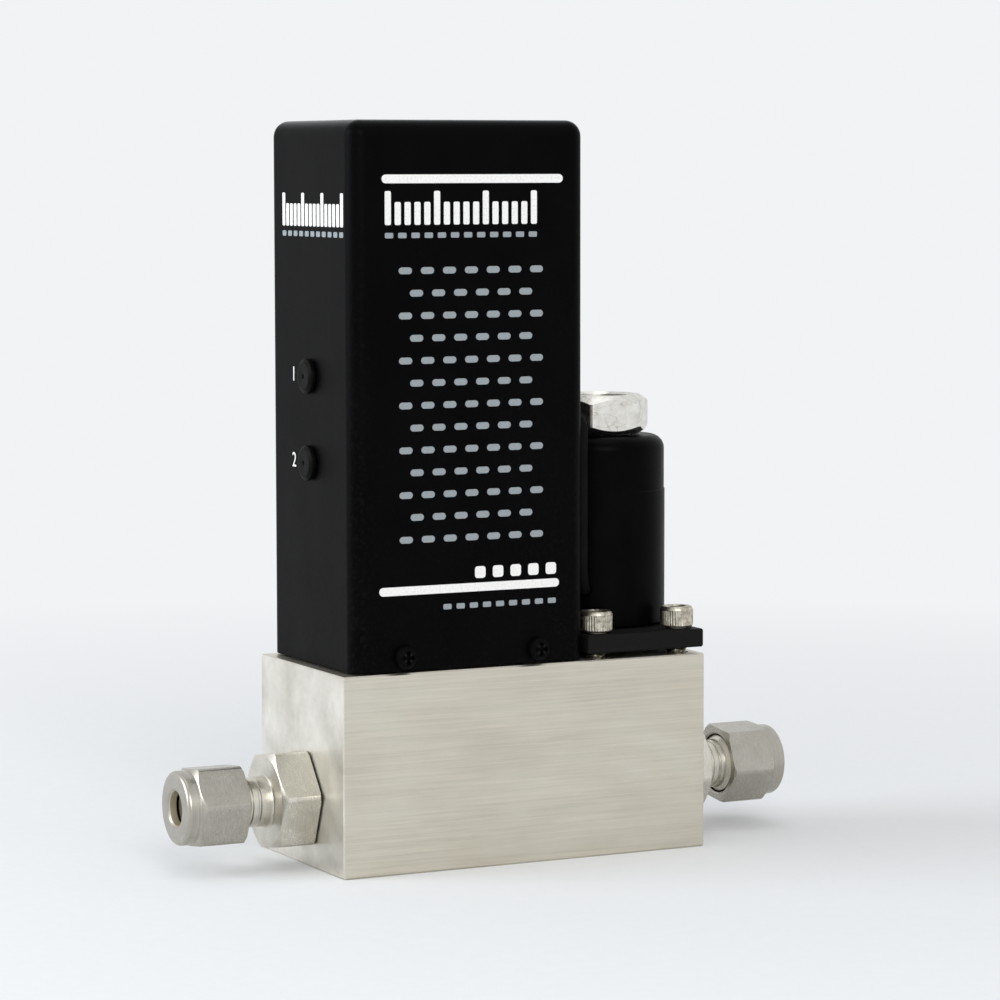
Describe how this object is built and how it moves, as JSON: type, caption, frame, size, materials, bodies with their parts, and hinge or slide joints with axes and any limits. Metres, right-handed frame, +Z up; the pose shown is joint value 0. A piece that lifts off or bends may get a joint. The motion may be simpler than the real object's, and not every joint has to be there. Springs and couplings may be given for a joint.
{
  "type": "mass flow controller",
  "caption": "Thermal mass flow controller: steel flow block with tube fittings, a tall black can over its sensor and board, and a side solenoid valve.",
  "frame": {"origin": "middle of the flow block's underside, on the surface it stands on", "axes": "+X along the gas flow from inlet to outlet, -Y the printed front, +Z up"},
  "size_m": [0.1276, 0.0412, 0.1393],
  "materials": {
    "block_steel": "stainless steel, ground with a lengthwise grain",
    "fitting_steel": "turned stainless steel",
    "valve_steel": "turned magnetic stainless steel",
    "valve_nut_plate": "bright nickel plate, scratched by a spanner",
    "screw_steel": "stainless steel screws and spring wire",
    "can_paint": "fine black powder coat",
    "coil_paint": "black paint over drawn steel",
    "flange_black": "black oxide on ground steel",
    "screw_black": "black oxide",
    "plug_plastic": "moulded black nylon",
    "lead_rubber": "black jacket and grommet",
    "seal_rubber": "black fluoroelastomer",
    "bracket_aluminium": "bent and drawn sheet aluminium",
    "board_laminate": "green solder mask on glass laminate",
    "trimmer_plastic": "blue moulded case",
    "trimmer_brass": "turned brass",
    "chip_plastic": "moulded black epoxy",
    "winding_copper": "enamelled copper wire"
  },
  "bodies": {
    "controller": {"flow_block": "block_steel", "sensor_base": "block_steel", "valve_spacer": "block_steel", "inlet_fitting_body": "fitting_steel", "outlet_fitting_body": "fitting_steel", "inlet_nut": "fitting_steel", "outlet_nut": "fitting_steel", "inlet_front_ferrule": "fitting_steel", "outlet_front_ferrule": "fitting_steel", "inlet_back_ferrule": "fitting_steel", "outlet_back_ferrule": "fitting_steel", "valve_stem": "valve_steel", "valve_seat": "valve_steel", "laminar_element": "valve_steel", "sensor_capillary": "valve_steel", "valve_nut": "valve_nut_plate", "flange_screw_1": "screw_steel", "flange_screw_2": "screw_steel", "flange_screw_3": "screw_steel", "flange_screw_4": "screw_steel", "sensor_screw_1": "screw_steel", "sensor_screw_2": "screw_steel", "bracket_screw_1": "screw_steel", "bracket_screw_2": "screw_steel", "board_screw_1": "screw_steel", "board_screw_2": "screw_steel", "plunger_spring": "screw_steel", "can": "can_paint", "coil_housing": "coil_paint", "valve_flange": "flange_black", "can_screw_1": "screw_black", "can_screw_2": "screw_black", "can_screw_3": "screw_black", "can_screw_4": "screw_black", "span_plug": "plug_plastic", "zero_plug": "plug_plastic", "coil_lead": "lead_rubber", "lead_grommet": "lead_rubber", "inlet_o_ring": "seal_rubber", "outlet_o_ring": "seal_rubber", "element_seal": "seal_rubber", "sensor_inlet_seal": "seal_rubber", "sensor_outlet_seal": "seal_rubber", "stem_seal": "seal_rubber", "board_bracket": "bracket_aluminium", "sensor_housing": "bracket_aluminium", "circuit_board": "board_laminate", "span_trimmer": "trimmer_plastic", "zero_trimmer": "trimmer_plastic", "amplifier_chip": "chip_plastic", "drive_transistor": "chip_plastic", "filter_capacitor": "chip_plastic", "valve_coil": "winding_copper", "upstream_winding": "winding_copper", "heater_winding": "winding_copper", "downstream_winding": "winding_copper"},
    "plunger": {"valve_plunger": "valve_steel"},
    "span_screw": {"span_trimmer_screw": "trimmer_brass"},
    "zero_screw": {"zero_trimmer_screw": "trimmer_brass"}
  },
  "joints": [
    {"name": "plunger_lift", "type": "slide", "parent": "controller", "child": "plunger", "axis": [0, 0, 1], "range_m": [0, 0.0004], "stiffness_N_per_m": 500, "springref_m": -0.002, "deforming": ["plunger_spring"]},
    {"name": "span_screw_turn", "type": "hinge", "parent": "controller", "child": "span_screw", "pos_m": [-0.03135, 0.0003, 0.0918], "axis": [-1, 0, 0], "continuous": true},
    {"name": "zero_screw_turn", "type": "hinge", "parent": "controller", "child": "zero_screw", "pos_m": [-0.03135, 0.0003, 0.0756], "axis": [-1, 0, 0], "continuous": true}
  ]
}
